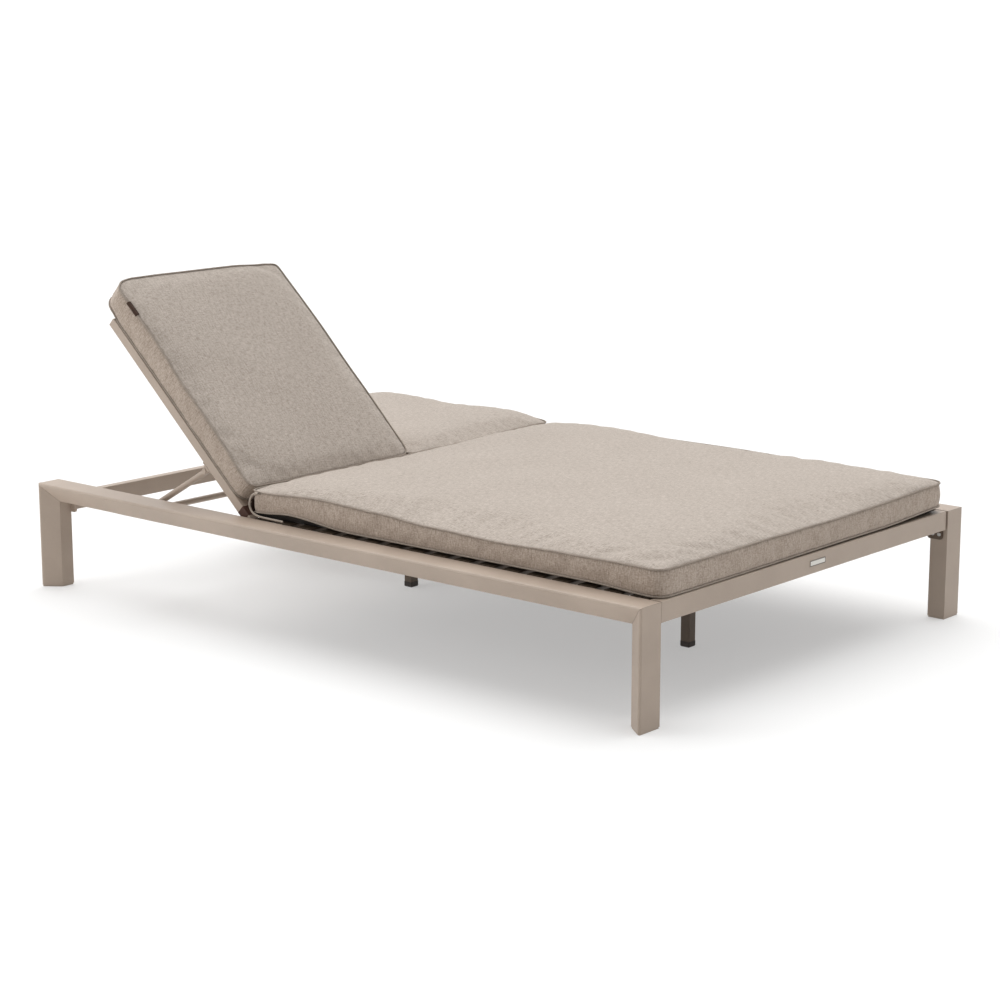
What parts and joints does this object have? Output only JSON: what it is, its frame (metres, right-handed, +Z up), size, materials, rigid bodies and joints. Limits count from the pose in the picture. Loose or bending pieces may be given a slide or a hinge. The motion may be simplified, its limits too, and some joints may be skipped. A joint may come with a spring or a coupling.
{
  "type": "double chaise lounger",
  "caption": "Wide slatted aluminium sun lounger for two, with trapezoid side frames, separately raised backrests on bent prop brackets, and loose boxed cushions.",
  "frame": {"origin": "on the floor, in the middle of the side frames' outer length and width", "axes": "+X from the head end to the foot end, +Y from the near side to the far side, +Z up"},
  "size_m": [2, 1.33, 0.8239],
  "materials": {
    "powder_coat": "fine textured satin powder coat, champagne taupe",
    "cushion_cloth": "woven melange outdoor cloth, greige",
    "tie_cord": "braided cord in the cloth's colour",
    "tag_leather": "brown, blank",
    "taupe_plastic": "moulded, matt, in the frame's colour",
    "dark_plastic": "moulded, matt",
    "nylon": "natural nylon",
    "rubber_pad": "matt",
    "stainless_steel": "plain",
    "badge_metal": "blank, satin"
  },
  "bodies": {
    "frame": {"badge_plate": "badge_metal", "beam_end_plate": "powder_coat", "centre_hinge_bracket": "powder_coat", "centre_hinge_pin": "stainless_steel", "centre_leg_caps": "dark_plastic", "centre_leg_plates": "powder_coat", "centre_slat_bearer": "powder_coat", "cushion_ties": "tie_cord", "far_foot_leg": "powder_coat", "far_head_leg": "powder_coat", "far_racks": "powder_coat", "far_side_rail": "powder_coat", "foot_centre_leg": "powder_coat", "foot_rail": "powder_coat", "foot_rail_end_plates": "powder_coat", "frame_bolts": "stainless_steel", "head_centre_beam": "powder_coat", "head_rail": "powder_coat", "head_rail_end_plates": "powder_coat", "hinge_centre_leg": "powder_coat", "hinge_cross_rail": "powder_coat", "hinge_rail_end_plates": "powder_coat", "hinge_spacers": "nylon", "leg_glides": "taupe_plastic", "near_foot_leg": "powder_coat", "near_head_leg": "powder_coat", "near_racks": "powder_coat", "near_side_rail": "powder_coat", "rest_pads": "rubber_pad", "rivet_nuts": "stainless_steel", "seat_centre_beam": "powder_coat", "seat_cushion": "cushion_cloth", "seat_slats": "powder_coat", "side_hinge_bolts": "stainless_steel", "slat_ledges": "powder_coat", "slat_screws": "stainless_steel"},
    "near_cushion": {"cushion_tag": "tag_leather", "near_back_cushion": "cushion_cloth"},
    "far_cushion": {"far_back_cushion": "cushion_cloth"},
    "far_backrest": {"far_back_slats": "powder_coat", "far_bottom_tube": "powder_coat", "far_hinge_bushes": "nylon", "far_inner_stile": "powder_coat", "far_outer_stile": "powder_coat", "far_prop_lugs": "powder_coat", "far_prop_pins": "stainless_steel", "far_stile_caps": "dark_plastic", "far_top_tube": "powder_coat"},
    "far_prop_bracket": {"far_prop": "powder_coat"},
    "near_backrest": {"near_back_slats": "powder_coat", "near_bottom_tube": "powder_coat", "near_hinge_bushes": "nylon", "near_inner_stile": "powder_coat", "near_outer_stile": "powder_coat", "near_prop_lugs": "powder_coat", "near_prop_pins": "stainless_steel", "near_stile_caps": "dark_plastic", "near_top_tube": "powder_coat"},
    "near_prop_bracket": {"near_prop": "powder_coat"}
  },
  "joints": [
    {"name": "near_backrest_hinge", "type": "hinge", "parent": "frame", "child": "near_backrest", "pos_m": [-0.281, 0, 0.2675], "axis": [0, 1, 0], "range_deg": [-42.5, 17.5]},
    {"name": "far_backrest_hinge", "type": "hinge", "parent": "frame", "child": "far_backrest", "pos_m": [-0.281, 0, 0.2675], "axis": [0, 1, 0], "range_deg": [0, 60]},
    {"name": "near_prop_pivot", "type": "hinge", "parent": "near_backrest", "child": "near_prop_bracket", "pos_m": [-0.4357, 0, 0.37399], "axis": [0, 1, 0], "range_deg": [-29.41, 71.41]},
    {"name": "far_prop_pivot", "type": "hinge", "parent": "far_backrest", "child": "far_prop_bracket", "pos_m": [-0.467, 0, 0.2415], "axis": [0, 1, 0], "range_deg": [-100.81, 0.01]},
    {"name": "near_cushion_slide", "type": "slide", "parent": "near_backrest", "child": "near_cushion", "axis": [-0.7373, 0, 0.6756], "range_m": [-0.05891, 0.02426]},
    {"name": "far_cushion_slide", "type": "slide", "parent": "far_backrest", "child": "far_cushion", "axis": [-1, 0, 0], "range_m": [-0.00001, 0.08316]}
  ],
  "couplings": [
    {"joint": "near_prop_pivot", "follows": "near_backrest_hinge", "ratio": -1.68},
    {"joint": "far_prop_pivot", "follows": "far_backrest_hinge", "ratio": -1.68},
    {"joint": "near_cushion_slide", "follows": "near_backrest_hinge", "m_per_rad": 0.079405},
    {"joint": "far_cushion_slide", "follows": "far_backrest_hinge", "m_per_rad": 0.079405}
  ]
}
